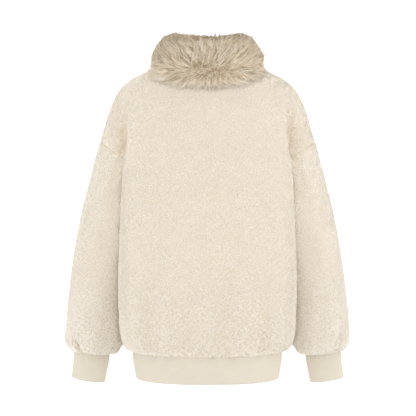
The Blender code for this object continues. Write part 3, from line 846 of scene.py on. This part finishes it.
# The waves that lay the whorls: strength, turn for each millimetre of height, x and y, and start.
WHORLS = ((1.1, 0.12, 0.34, 0.0, 1.3), (0.9, 0.41, -0.13, 0.3, 0.0))
TUFTS_STRAY, TUFTS_BOW = 0.6, 1.0  # from the whorl's own direction, and sideways
SIZES_VARY = (0.85, 1.15)
SHAGGY_BELOW, SHAGGY_FULL = -400.0, -610.0
SHAGGIER, SHAGGY_LIFT, SHAGGY_VARIES = 0.3, 2.2, 0.5  # in size, in height at the tip and in tone
# how much darker the pile's tone is where painted shade is laid in folds, creases and seams; and its
# random spread
PAINTED_SHADE_DARKER, TUFTS_VARY = 0.7, 0.13
# The darkest, warmest tone is reached mostly where the painted shade darkens the pile.
PILE_TONES = (
    (0.0, (0.825, 0.715, 0.545)),
    (0.4, (0.855, 0.782, 0.672)),
    (1.0, (0.905, 0.852, 0.765)),
)
# painted shade deep in the pile: each tuft darkens to this at its root
PILE_ROOT_SHADE = (0.90, 0.77, 0.59)
# The sleeves' pile is painted lighter than the body's, though both are the same fleece: painted light.
BODY_TONE, SLEEVE_TONE = 0.6, 0.78
EVEN_STEPS = (0.7548777, 0.5698403)  # multiples of these, less the whole turns, fill a square evenly

random = np.random.default_rng(11)


def sown(cloth):
    """Even places for tufts, clear of the seams, with the ways out, across and down and the painted
    shade.
    """
    layers = [cloth["points"], cloth["normals"], cloth["edge"][..., None], cloth["matted"][..., None]]
    field = np.concatenate(layers, axis=2)
    if cloth["closed"]:
        field = np.concatenate([field, field[:, :1]], axis=1)
    corners = field[:-1, :-1], field[:-1, 1:], field[1:, :-1], field[1:, 1:]
    a, b, c, d = (corner.reshape(-1, field.shape[2]) for corner in corners)
    area = np.linalg.norm(np.cross((d - a)[:, :3], (c - b)[:, :3]), axis=1) / 2
    counts = np.diff(np.floor(running(area) / TUFT_SPACING**2)).astype(int)
    cell = np.repeat(np.arange(len(area)), counts)
    index = np.arange(len(cell))[:, None]
    across, down = (index * step % 1 for step in EVEN_STEPS)
    top = a[cell] + (b - a)[cell] * across
    bottom = c[cell] + (d - c)[cell] * across
    place = between(top, bottom, down)
    clear = place[:, 6] > SEAM_MARGIN
    place, cell = place[clear], cell[clear]
    run_across, run_down = (b - a)[cell, :3], (c - a)[cell, :3]
    return place[:, :3], unit(place[:, 3:6]), unit(run_across), unit(run_down), place[:, 7]


def add_strands(name, paths, radii, tones, facing, softness, material):
    """One strand along each path, pointed at both ends. OFBake has its tone across and its length up.

    Fine hair scatters light, so its shading leans by softness towards the face that it grows on.
    """
    count, knots = paths.shape[:2]
    axis = unit(np.gradient(paths, axis=1))
    least = np.abs(axis.mean(axis=1)).argmin(axis=1)
    side = unit(np.cross(axis, np.eye(3)[least][:, None]))
    other = np.cross(axis, side)
    angle = once_round(STRAND_SIDES)[:, None]
    spread = side[:, 1:-1, None] * np.cos(angle) + other[:, 1:-1, None] * np.sin(angle)
    rings = (paths[:, 1:-1, None] + radii[:, :, None, None] * spread).reshape(count, -1, 3)
    points = np.concatenate([paths[:, :1], rings, paths[:, -1:]], axis=1)
    each = points.shape[1]
    last_ring = each - 1 - STRAND_SIDES
    faces = []
    for j in range(STRAND_SIDES):
        beside = (j + 1) % STRAND_SIDES
        faces += [(1 + j, 0, 1 + beside), (last_ring + j, last_ring + beside, each - 1)]
        for low in range(1, last_ring, STRAND_SIDES):
            high = low + STRAND_SIDES
            faces += [(low + j, low + beside, high + beside), (low + j, high + beside, high + j)]
    triangles = np.array(faces) + each * np.arange(count)[:, None, None]
    item = add_mesh(name, points.reshape(-1, 3), triangles.reshape(-1, 3), material)
    away = np.concatenate([-axis[:, :1], spread.reshape(count, -1, 3), axis[:, -1:]], axis=1)
    lent = unit(away * (1 - softness) + facing[:, None] * softness)
    item.data.normals_split_custom_set_from_vertices(lent.reshape(-1, 3).tolist())
    turn = (np.arange(each) - 1) % STRAND_SIDES
    length = (np.arange(each) + STRAND_SIDES - 1) // STRAND_SIDES / (knots - 1)
    length = length * (1 - 3 * CHART_MARGIN) + CHART_MARGIN + CHART_MARGIN * (turn == 1)
    u = np.clip(tones, CHART_MARGIN, 1 - CHART_MARGIN)[:, None] + CHART_WIDTH * (turn - 1)
    uv = np.stack([u, np.broadcast_to(length, u.shape)], axis=-1).reshape(-1, 2)
    layer = item.data.uv_layers.new(name="OFBake")
    layer.data.foreach_set("uv", uv[triangles.reshape(-1)].ravel())
    return item


def strand_material(name, tones, root_shade, full_from, roughness, sheen):
    """Hair whose colour runs through tones from U 0 to 1, and which darkens to its root at V 0, as
    painted shade deep in the hair.
    """
    material, tree, shader = new_material(name, tones[0][1], roughness, sheen)
    chart = add_node(tree, "ShaderNodeUVMap", uv_map="OFBake")
    split = add_node(tree, "ShaderNodeSeparateXYZ", {"Vector": chart.outputs["UV"]})
    tone = add_node(tree, "ShaderNodeValToRGB", {"Fac": split.outputs["X"]})
    for place, _ in tones[1:-1]:
        tone.color_ramp.elements.new(place)
    for element, (place, colour) in zip(tone.color_ramp.elements, tones):
        element.position, element.color = place, (*colour, 1)
    depth = add_node(tree, "ShaderNodeValToRGB", {"Fac": split.outputs["Y"]})
    depth.color_ramp.elements[0].color = (*root_shade, 1)
    depth.color_ramp.elements[1].position = full_from
    factors = {0: 1.0, 6: tone.outputs["Color"], 7: depth.outputs["Color"]}
    both = add_node(tree, "ShaderNodeMix", factors, data_type="RGBA", blend_type="MULTIPLY")
    feed(tree, shader, {"Base Color": both.outputs[2]})
    return material


def add_pile(name, cloth, tone, material):
    place, normal, across, down, matted = sown(cloth)
    x, y, z = place.T
    count = len(x)
    whorl = sum(strong * np.sin(c * z + a * x + b * y + start) for strong, c, a, b, start in WHORLS)
    whorl += math.pi / 2 + random.normal(0, TUFTS_STRAY, count)
    lean = np.cos(whorl)[:, None] * across + np.sin(whorl)[:, None] * down
    lean = unit(lean - normal * np.sum(lean * normal, axis=1, keepdims=True))
    shaggy = 1 - ease(z, SHAGGY_FULL, SHAGGY_BELOW)
    size = random.uniform(*SIZES_VARY, count) * (1 + SHAGGIER * shaggy)
    rise, run = np.outer(size, TUFT_RISE), np.outer(size, TUFT_RUN)
    rise[:, -1] += SHAGGY_LIFT * shaggy * random.uniform(0, 1, count)
    bow = random.normal(0, TUFTS_BOW, (count, 3))
    steps = rise[..., None] * normal[:, None] + run[..., None] * lean[:, None]
    steps += bow[..., None] * np.cross(normal, lean)[:, None]
    radii = TUFT_RADIUS * size[:, None] * random.uniform(*SIZES_VARY, (count, 1))
    varied = random.normal(0, TUFTS_VARY, count) * (1 + SHAGGY_VARIES * shaggy)
    # painted shade lowers the tone in folds, creases and seams
    tones = tone - PAINTED_SHADE_DARKER * matted + varied
    return add_strands(name, place[:, None] + steps, radii, tones, normal, PILE_SOFTNESS, material)


pile_material = strand_material(
    "sherpa_pile", PILE_TONES, PILE_ROOT_SHADE, PILE_FULL_FROM, roughness=0.95, sheen=0.7
)
for name, cloth in panels.items():
    pile = add_pile(name + "_pile", cloth, BODY_TONE, pile_material)
for side, cloth in sleeves.items():
    pile = add_pile(side + "_sleeve_pile", cloth, SLEEVE_TONE, pile_material)

# ==== Fur collar ================================================================================
# A high turned-down collar of long-haired faux fur, taupe at the sides and paler below, sewn round
# the neckline. A jersey-backed cloth is folded over on itself, and its locks part low at the back.
COLLAR_ANGLES = (0, 40, 65, 90, 180)  # from the middle of the back, in degrees
# Outward from the neckline and upward, at those angles: the cloth, then the tips of the fur over it.
COLLAR_SECTION = {
    "foot": ((-5, 2), (-5, 2), (-5, 2), (-5, 2), (-5, 2)),
    "stand": ((-8, 20), (-9, 21), (-12, 23), (-15, 24), (-8, 28)),
    "inner_fold": ((-6, 36), (-8, 38), (-13, 42), (-17, 44), (-8, 53)),
    "fold": ((-1, 44), (-3, 46), (-9, 51), (-14, 54), (-3, 62)),
    "outer_fold": ((7, 45), (5, 47), (-2, 52), (-8, 55), (5, 63)),
    "turn": ((20, 34), (18, 37), (11, 41), (4, 44), (19, 47)),
    "round": ((34, 17), (30, 21), (23, 26), (16, 29), (33, 28)),
    "fall": ((42, -4), (37, 1), (31, 8), (23, 14), (40, 5)),
    "low": ((42, -24), (38, -17), (32, -8), (24, 2), (39, -16)),
    "edge": ((29, -42), (27, -34), (24, -21), (20, -8), (28, -33)),
}
FUR_SECTION = {
    "inside_foot": ((-9, 8), (-10, 8), (-11, 8), (-12, 8), (-9, 9)),
    "inside_middle": ((-14, 28), (-16, 29), (-20, 31), (-24, 32), (-14, 40)),
    "inside_top": ((-13, 48), (-16, 49), (-22, 52), (-26, 54), (-15, 66)),
    "inner_crown": ((-8, 58), (-11, 59), (-19, 62), (-26, 63), (-10, 77)),
    "crown": ((7, 60), (4, 63), (-5, 65), (-15, 65), (4, 79)),
    "brow": ((29, 46), (26, 49), (17, 55), (7, 57), (26, 61)),
    "upper": ((47, 24), (42, 29), (32, 34), (23, 37), (45, 36)),
    "middle": ((57, 0), (51, 5), (43, 13), (34, 19), (54, 10)),
    "swell": ((57, -29), (53, -22), (45, -10), (35, 2), (54, -18)),
}
# Below its section the fur ends in a fringe and its tips, which lie on the fleece.
FUR_REACH = (0.388, 0.35, 0.262, 0.188, 0.362)  # down the panel at the same angles, in shoulder lengths
FUR_FLATNESS = (0, 0, 0.22, 1.2, 0)  # how closely it lies there; past 1 it sinks in
FUR_ENDS = ((0.82, 2.4), (1.15, 0.4))  # share of the reach and height off the fleece: fringe, tips
FUR_END_STEP = 0.01  # further down the panel, to read which way the fleece faces
COLLAR_COLUMNS, COLLAR_STEPS = 120, 4
COLLAR_THICKNESS = 2.0
# dark brown: partly the backing's own colour, partly painted shade seen between the locks of fur
BACKING_COLOUR = (0.42, 0.33, 0.23)
BACKING_GRAIN = {"Scale": 300.0, "Detail": 2.0}
FUR_TONES = (
    (0.0, (0.30, 0.22, 0.13)),
    (0.35, (0.62, 0.49, 0.32)),
    (0.65, (0.85, 0.73, 0.555)),
    (1.0, (0.95, 0.87, 0.74)),
)
# painted shade deep in the fur: each strand darkens to this at its root
FUR_ROOT_SHADE, FUR_FULL_FROM = (0.66, 0.51, 0.34), 0.6
FUR_SOFTNESS = 0.35

# Places on the fur are rows of its section, 0 at the foot inside and 10 at the tips, and shares of a
# turn. Pairs of rows say where something sets in and where it is full.
LOCK_COUNTS = {
    "collar_fur_back": 3000,
    "collar_fur_front": 2300,
    "collar_fur_inside": 1000,
    "collar_fur_curls": 450,
}
INSIDE_ROWS, OUTSIDE_ROWS = (0.4, 3.4), (3.8, 5.2)  # the first row of roots and how far they go down
CLOSER_DOWNWARDS = 0.8  # under 1, the roots outside stand closer lower down
PARTING = 8.0  # the row where the fur parts: locks rise above it and hang below it
PARTING_ROWS = (PARTING - 0.7, PARTING + 0.5)
CURLS_ROUND, CURLS_PLACE = 0.055, (-0.15, 0.3)  # spread round, and place and spread from the parting
CLIMB_INSIDE, CLIMB_OUTSIDE = 0.5, -0.95  # rows from a lock's root to its tip
OUTSIDE_FROM, CLIMB_ROWS, CLIMB_LESS_ASIDE = 3.5, (4.2, 6.4), 0.5
SWEEP = 0.045  # share of a turn from root to tip, away from the middles of the back and the front
LOCKS_STRAY = {"turn": 0.002, "climb": 0.18, "curl": 0.6, "sweep": 0.012, "tone": 0.22}
REACH, CURLS_SHORTER = (0.82, 1.08), 0.22  # how much of the way to the fur's outline a lock goes
LONG_LOCKS, LONGER = 0.9, 0.13  # the locks past this share reach further
# Tones run from 0, dark taupe, to 1, cream.
MIDDLE_TONE, CURLS_DARKER = 0.62, 0.15
UPPER_PALER, LOWER_PALER, LOWER_ROWS = 0.06, 0.25, (PARTING, 9.0)
# The fringe is paler: partly its own pale tips, partly painted light lifting the shade under the
# collar's overhang.
FRINGE_PALER, FRINGE_ROWS = 0.38, (8.4, 9.0)
# The top and crown darkening is painted shade, where the fur turns over into the inside of the collar.
SIDES_DARKER, TOP_PAINTED_SHADE, TOP_ROWS = 0.42, 0.42, (4.0, 6.0)
CROWN_PAINTED_SHADE, CROWN_ROWS, CROWN_NARROW = 0.28, (4.3, 5.1), 20
BUNCHES_ROUND, BUNCHES_DOWN, BUNCHED = 64, 2.6, 0.6  # in a turn, in a row, and how close their tips
BUNCHES_LONGER, BUNCHES_PALER = 0.08, 0.12  # in their middles; the paler middles, standing furthest out, are painted light
LOCK_STRANDS = 3
STRANDS_APART, STRANDS_TIPS_APART = (0.0032, 0.11), 0.12  # round and down at the root, down at the tip
STRANDS_TOGETHER = 0.4  # share of that shift at the root which a tip keeps
STRANDS_REACH, STRANDS_TONE, STRANDS_WIDTH = (0.88, 1.04), 0.12, (0.75, 1.25)
STRAYS, STRAYS_LONGER, STRAYS_END = 0.88, 0.2, (8.2, 8.8)  # strands past this share stand out
ROOT_ROWS, TIP_ROWS = (0.2, 9.0), (10, 0.9)  # limits of the roots; the last row of tips, and its spread
RISE_SHARE = 0.62  # of the way to the outline, for which a strand first stands up
SWAY, CURLS_SWAY, SWAY_TURN = 1.5, 4.0, 5  # sideways at the tip, and its turn from the root to the tip
LOCK_KNOTS = np.array([0.0, 0.34, 0.68, 1.0])
LOCK_RADII = np.array([0.75, 0.6])


def neck_place(angle):
    """Where the neckline is, and the direction outward from it, at an angle in radians."""
    sine, cosine = np.sin(angle), np.cos(angle)
    height = np.where(cosine >= 0, NECK_HEIGHT["back"], NECK_HEIGHT["front"])
    height = between(height, SHOULDER_POINT_HEIGHT, sine**2)
    x = at(SHOULDER_CAP, "outer", SHOULDER_POINT_HEIGHT) * sine
    depth = [panel_depth(x, height, panel) for panel in ("back", "front")]
    y = np.where(cosine >= 0, depth[0], -depth[1]) + at(TORSO, "side_y", height)
    return np.stack([x, y, height], axis=-1), np.stack([sine, cosine, 0 * sine], axis=-1)


def from_back(angle):
    """The same angles counted either way from the middle of the back, in degrees."""
    return np.abs((np.degrees(angle) + 180) % 360 - 180)


def section_rows(section, angle):
    """The places of a section's rows at each angle, as (rows, angles, 3)."""
    neck, outward = neck_place(angle)
    rows = []
    for places in section.values():
        out, up = (along(COLLAR_ANGLES, measure, from_back(angle)) for measure in zip(*places))
        rows.append(neck + outward * out[..., None] + np.array([0, 0, 1.0]) * up[..., None])
    return np.array(rows)


def fur_end_rows(angle):
    """Where the lowest fur ends on the shoulders, back and front."""
    reach, flat = (along(COLLAR_ANGLES, rows, from_back(angle)) for rows in (FUR_REACH, FUR_FLATNESS))
    lines, ends = {}, []
    for share, lift in FUR_ENDS:
        for i, turn in enumerate(angle):
            panel, out = ("back", 1) if math.cos(turn) >= 0 else ("front", -1)
            pair = []
            for row in (reach[i] * share, reach[i] * share + FUR_END_STEP):
                key = (panel, round(row, 3))
                if key not in lines:
                    lines[key] = panel_line(panel, row)
                pair.append(lines[key])
            line, below = pair
            place = (math.degrees(math.asin(math.sin(turn))) + 90) / 180 * FINE_STEPS
            low = min(int(place), FINE_STEPS - 1)
            across = line[low + 1] - line[low]
            normal = unit(np.cross(across, below[low] - line[low])) * out
            ends.append(line[low] + across * (place - low) + normal * lift * (1 - flat[i]))
    return np.reshape(ends, (len(FUR_ENDS), len(angle), 3))


def on_grid(grid, row, turn):
    """Points between those of a grid whose columns go once round, at any row and share of a turn."""
    column = (turn % 1) * grid.shape[1]
    low_row = np.clip(row.astype(int), 0, grid.shape[0] - 2)
    low = column.astype(int) % grid.shape[1]
    beside = (low + 1) % grid.shape[1]
    r, c = (row - low_row)[:, None], (column % 1)[:, None]
    upper = grid[low_row, low] * (1 - c) + grid[low_row, beside] * c
    lower = grid[low_row + 1, low] * (1 - c) + grid[low_row + 1, beside] * c
    return upper * (1 - r) + lower * r


collar_angles = once_round(COLLAR_COLUMNS)
coarse = section_rows(COLLAR_SECTION, collar_angles)
fine_rows = np.linspace(0, len(coarse) - 1, (len(coarse) - 1) * COLLAR_STEPS + 1)
flat = coarse.reshape(len(coarse), -1)
smooth = np.stack([along(np.arange(len(coarse)), column, fine_rows) for column in flat.T], axis=1)
collar_face = smooth.reshape(len(fine_rows), COLLAR_COLUMNS, 3)
collar_facing = grid_normals(collar_face, True, False)
collar = {"points": collar_face, "normals": collar_facing, "closed": True, "flip": False}
collar_backing = mottled(
    "fur_backing", BACKING_COLOUR, roughness=0.95, sheen=0.1, dark=0.8, light=1.0, **BACKING_GRAIN
)[0]
collar_cloth = add_shell("collar_cloth", collar, COLLAR_THICKNESS, collar_backing)

fur_face = np.vstack([section_rows(FUR_SECTION, collar_angles), fur_end_rows(collar_angles)])
fur_facing = grid_normals(fur_face, True, False)
cloth_rows = np.vstack([coarse, coarse[-1:]])
fur_material = strand_material(
    "collar_fur", FUR_TONES, FUR_ROOT_SHADE, FUR_FULL_FROM, roughness=0.75, sheen=0.25
)
for name, count in LOCK_COUNTS.items():
    inside, curls = name.endswith("inside"), name.endswith("curls")
    index = np.arange(count)
    turn = (index * EVEN_STEPS[0] + random.normal(0, LOCKS_STRAY["turn"], count)) % 1
    spread = (index * EVEN_STEPS[1]) % 1
    if inside:
        row = INSIDE_ROWS[0] + INSIDE_ROWS[1] * spread
    elif curls:
        turn = random.normal(0, CURLS_ROUND, count)
        row = PARTING + random.normal(*CURLS_PLACE, count)
    else:
        turn = turn / 2 - 0.25 + 0.5 * name.endswith("front")
        row = OUTSIDE_ROWS[0] + OUTSIDE_ROWS[1] * spread**CLOSER_DOWNWARDS
    angle = math.tau * turn
    aside = np.sin(angle) ** 2
    above = 1 - 2 * ease(row, *PARTING_ROWS)
    climb = CLIMB_OUTSIDE * above * ease(row, *CLIMB_ROWS) * (1 - CLIMB_LESS_ASIDE * aside)
    climb = np.where(row < OUTSIDE_FROM, CLIMB_INSIDE, climb)
    climb = climb + random.normal(0, LOCKS_STRAY["curl" if curls else "climb"], count)
    wander = 0.4 * np.sin(3.1 * row + 1.0)  # bends the line that the tips sweep away from
    sweep = SWEEP * np.sin(2 * angle + wander) * np.where(inside, 0, 1)
    sweep += random.normal(0, LOCKS_STRAY["sweep"], count)
    reach = random.uniform(*REACH, count) + LONGER * (random.uniform(0, 1, count) > LONG_LOCKS)
    tone = MIDDLE_TONE + UPPER_PALER * above + LOWER_PALER * ease(row, *LOWER_ROWS) * np.cos(angle) ** 2
    tone = tone - SIDES_DARKER * aside * above
    # painted shade inside the collar and over its crown at the middle of the back
    crown = np.clip(np.cos(angle), 0, 1) ** CROWN_NARROW
    tone = tone - CROWN_PAINTED_SHADE * crown * (1 - ease(row, *CROWN_ROWS))
    # painted light on the fringe, besides its own pale tips
    tone = tone - TOP_PAINTED_SHADE * (1 - ease(row, *TOP_ROWS)) + FRINGE_PALER * ease(row, *FRINGE_ROWS)
    tone = tone + random.normal(0, LOCKS_STRAY["tone"], count)
    # Slow waves in the phases keep the bunches from standing in rows.
    round_phase = BUNCHES_ROUND * turn + 0.8 * np.sin(2.3 * row + 4 * angle + 0.7) + 0.2 * row
    down_phase = BUNCHES_DOWN * row + 0.7 * np.sin(13 * angle + row) + 0.3 * np.sin(37 * angle)
    round_phase, down_phase = math.tau * round_phase, math.tau * down_phase
    middle = np.cos(round_phase) * np.cos(down_phase)
    # painted light: the middles of the bunches are paler
    reach, tone = reach * (1 + BUNCHES_LONGER * middle), tone + BUNCHES_PALER * middle
    gather_turn = BUNCHED * np.sin(round_phase) / (math.tau * BUNCHES_ROUND)
    gather_row = BUNCHED * np.sin(down_phase) / (math.tau * BUNCHES_DOWN)
    if curls:
        reach, tone = reach - CURLS_SHORTER, tone - CURLS_DARKER
    wave = random.uniform(0, math.tau, count)
    paths, radii, tones, facing = [], [], [], []
    for strand in range(LOCK_STRANDS):
        own_turn = turn + random.normal(0, STRANDS_APART[0], count)
        own_row = np.clip(row + random.normal(0, STRANDS_APART[1], count), *ROOT_ROWS)
        root = on_grid(cloth_rows, own_row, own_turn)
        tip_turn = turn + sweep - gather_turn + STRANDS_TOGETHER * (own_turn - turn)
        tip_row = row + climb - gather_row + STRANDS_TOGETHER * (own_row - row)
        tip_row += random.normal(0, STRANDS_TIPS_APART, count)
        tip_row = np.clip(tip_row, 0, TIP_ROWS[0] - TIP_ROWS[1] * random.uniform(0, 1, count))
        rim, inner = (on_grid(grid, tip_row, tip_turn) for grid in (fur_face, cloth_rows))
        stray = (random.uniform(0, 1, count) > STRAYS) * (1 - ease(own_row, *STRAYS_END))
        own_reach = random.uniform(*STRANDS_REACH, count) + STRAYS_LONGER * stray
        tip = between(inner, rim, (reach * own_reach)[:, None])
        over = on_grid(fur_face, own_row, own_turn)
        bend = between(root, over, RISE_SHARE)
        t = LOCK_KNOTS[None, :, None]
        path = root[:, None] * (1 - t) ** 2 + bend[:, None] * 2 * t * (1 - t) + tip[:, None] * t * t
        sway = np.sin(wave[:, None] + SWAY_TURN * LOCK_KNOTS)[..., None]
        sway = unit(np.cross(tip - root, over - root))[:, None] * sway
        paths.append(path + sway * ((CURLS_SWAY if curls else SWAY) * LOCK_KNOTS)[None, :, None])
        facing.append(unit(0.5 * unit(over - root) + on_grid(fur_facing, tip_row, tip_turn)))
        radii.append(LOCK_RADII * random.uniform(*STRANDS_WIDTH, count)[:, None])
        tones.append(tone + random.normal(0, STRANDS_TONE, count))
    strands = (np.concatenate(values) for values in (paths, radii, tones, facing))
    fur = add_strands(name, *strands, FUR_SOFTNESS, fur_material)
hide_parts("collar")

# ==== Camera, light and floor ===================================================================
# A camera straight behind the garment at mid height, soft even studio light and a plain white floor
# well below the hem, because the wearer would hold the garment up.
CAMERA_PLACE = (-0.0011, 2.3, -0.3124)
CAMERA_LENS = 90.48  # mm, on a sensor 36 mm wide
GARMENT_MIDDLE = (0, 0, -0.33)
FLOOR_HEIGHT = -1.40
WORLD_STRENGTH = 1.21
LIGHTS = (
    ("left_light", 4.0, 1.4, (2.4, 0.9, 0.1)),  # name, power, size and place
    ("right_light", 6.0, 1.4, (-2.4, 0.9, 0.2)),
    ("front_light", 10.0, 2.0, (-0.9, -2.4, 0.8)),
)


def set_up(name, data, place, turn):
    item = bpy.data.objects.new(name, data)
    item.location, item.rotation_euler = place, turn
    bpy.context.scene.collection.objects.link(item)
    return item


camera_data = bpy.data.cameras.new("camera")
camera_data.lens = CAMERA_LENS
bpy.context.scene.camera = set_up("camera", camera_data, CAMERA_PLACE, (math.pi / 2, 0, math.pi))

world = bpy.data.worlds.new("studio")
world.use_nodes = True
sky = {"Color": (1, 1, 1, 1), "Strength": WORLD_STRENGTH}
feed(world.node_tree, world.node_tree.nodes["Background"], sky)
bpy.context.scene.world = world

for name, power, size, place in LIGHTS:
    data = bpy.data.lights.new(name, "AREA")
    data.energy, data.size = power, size
    aim = unit(np.array(GARMENT_MIDDLE) - np.array(place))
    set_up(name, data, place, (math.acos(-aim[2]), 0, math.atan2(-aim[0], aim[1])))

bpy.ops.mesh.primitive_plane_add(size=60, location=(0, 0, FLOOR_HEIGHT))
floor = bpy.context.object
floor.name = "floor"
floor.data.materials.append(new_material("floor_white", (1, 1, 1), roughness=0.9, sheen=0.0)[0])
bpy.context.scene.view_settings.view_transform = "Standard"
